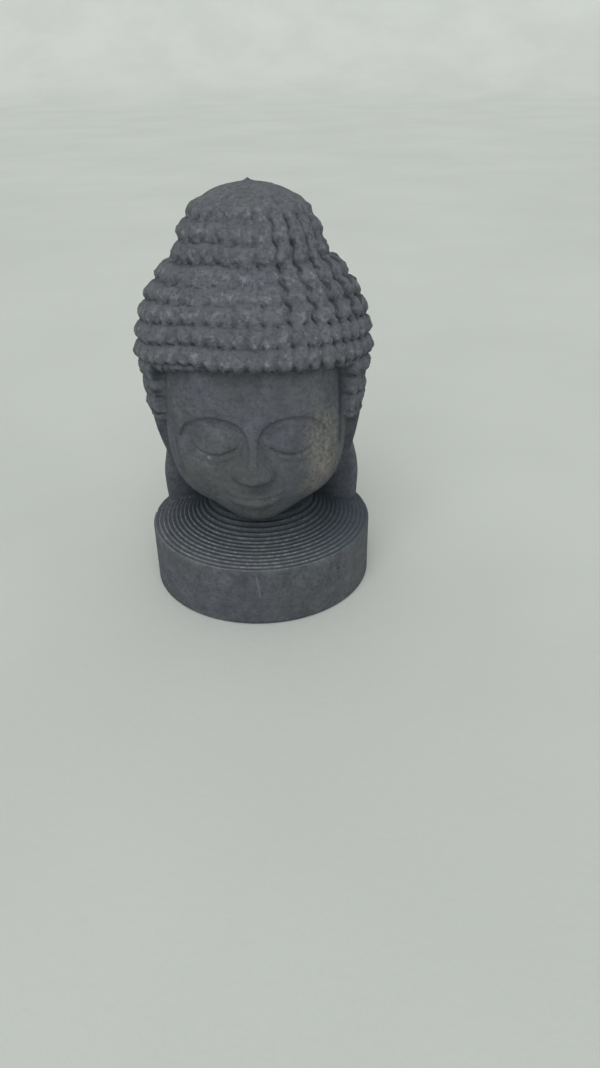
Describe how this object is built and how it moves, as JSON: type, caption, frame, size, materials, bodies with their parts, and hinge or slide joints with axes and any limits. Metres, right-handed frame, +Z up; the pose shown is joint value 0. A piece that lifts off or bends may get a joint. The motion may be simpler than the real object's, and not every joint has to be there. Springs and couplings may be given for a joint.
{
  "type": "stone buddha head",
  "caption": "Carved stone buddha head with rows of hair curls, a domed topknot, long ear lobes and a calm face, standing on a low round base with turned rings.",
  "frame": {"origin": "centre of the flat underside of the round base", "axes": "+Z up along the axis of the base's rings, the face looks along -Y, +X to the viewer's right as the face is seen from the front"},
  "size_m": [0.08, 0.08, 0.138],
  "materials": {
    "stone": "matte, dark grey, lightly weathered"
  },
  "bodies": {
    "root": {"stone_buddha_head": "stone"}
  },
  "joints": []
}
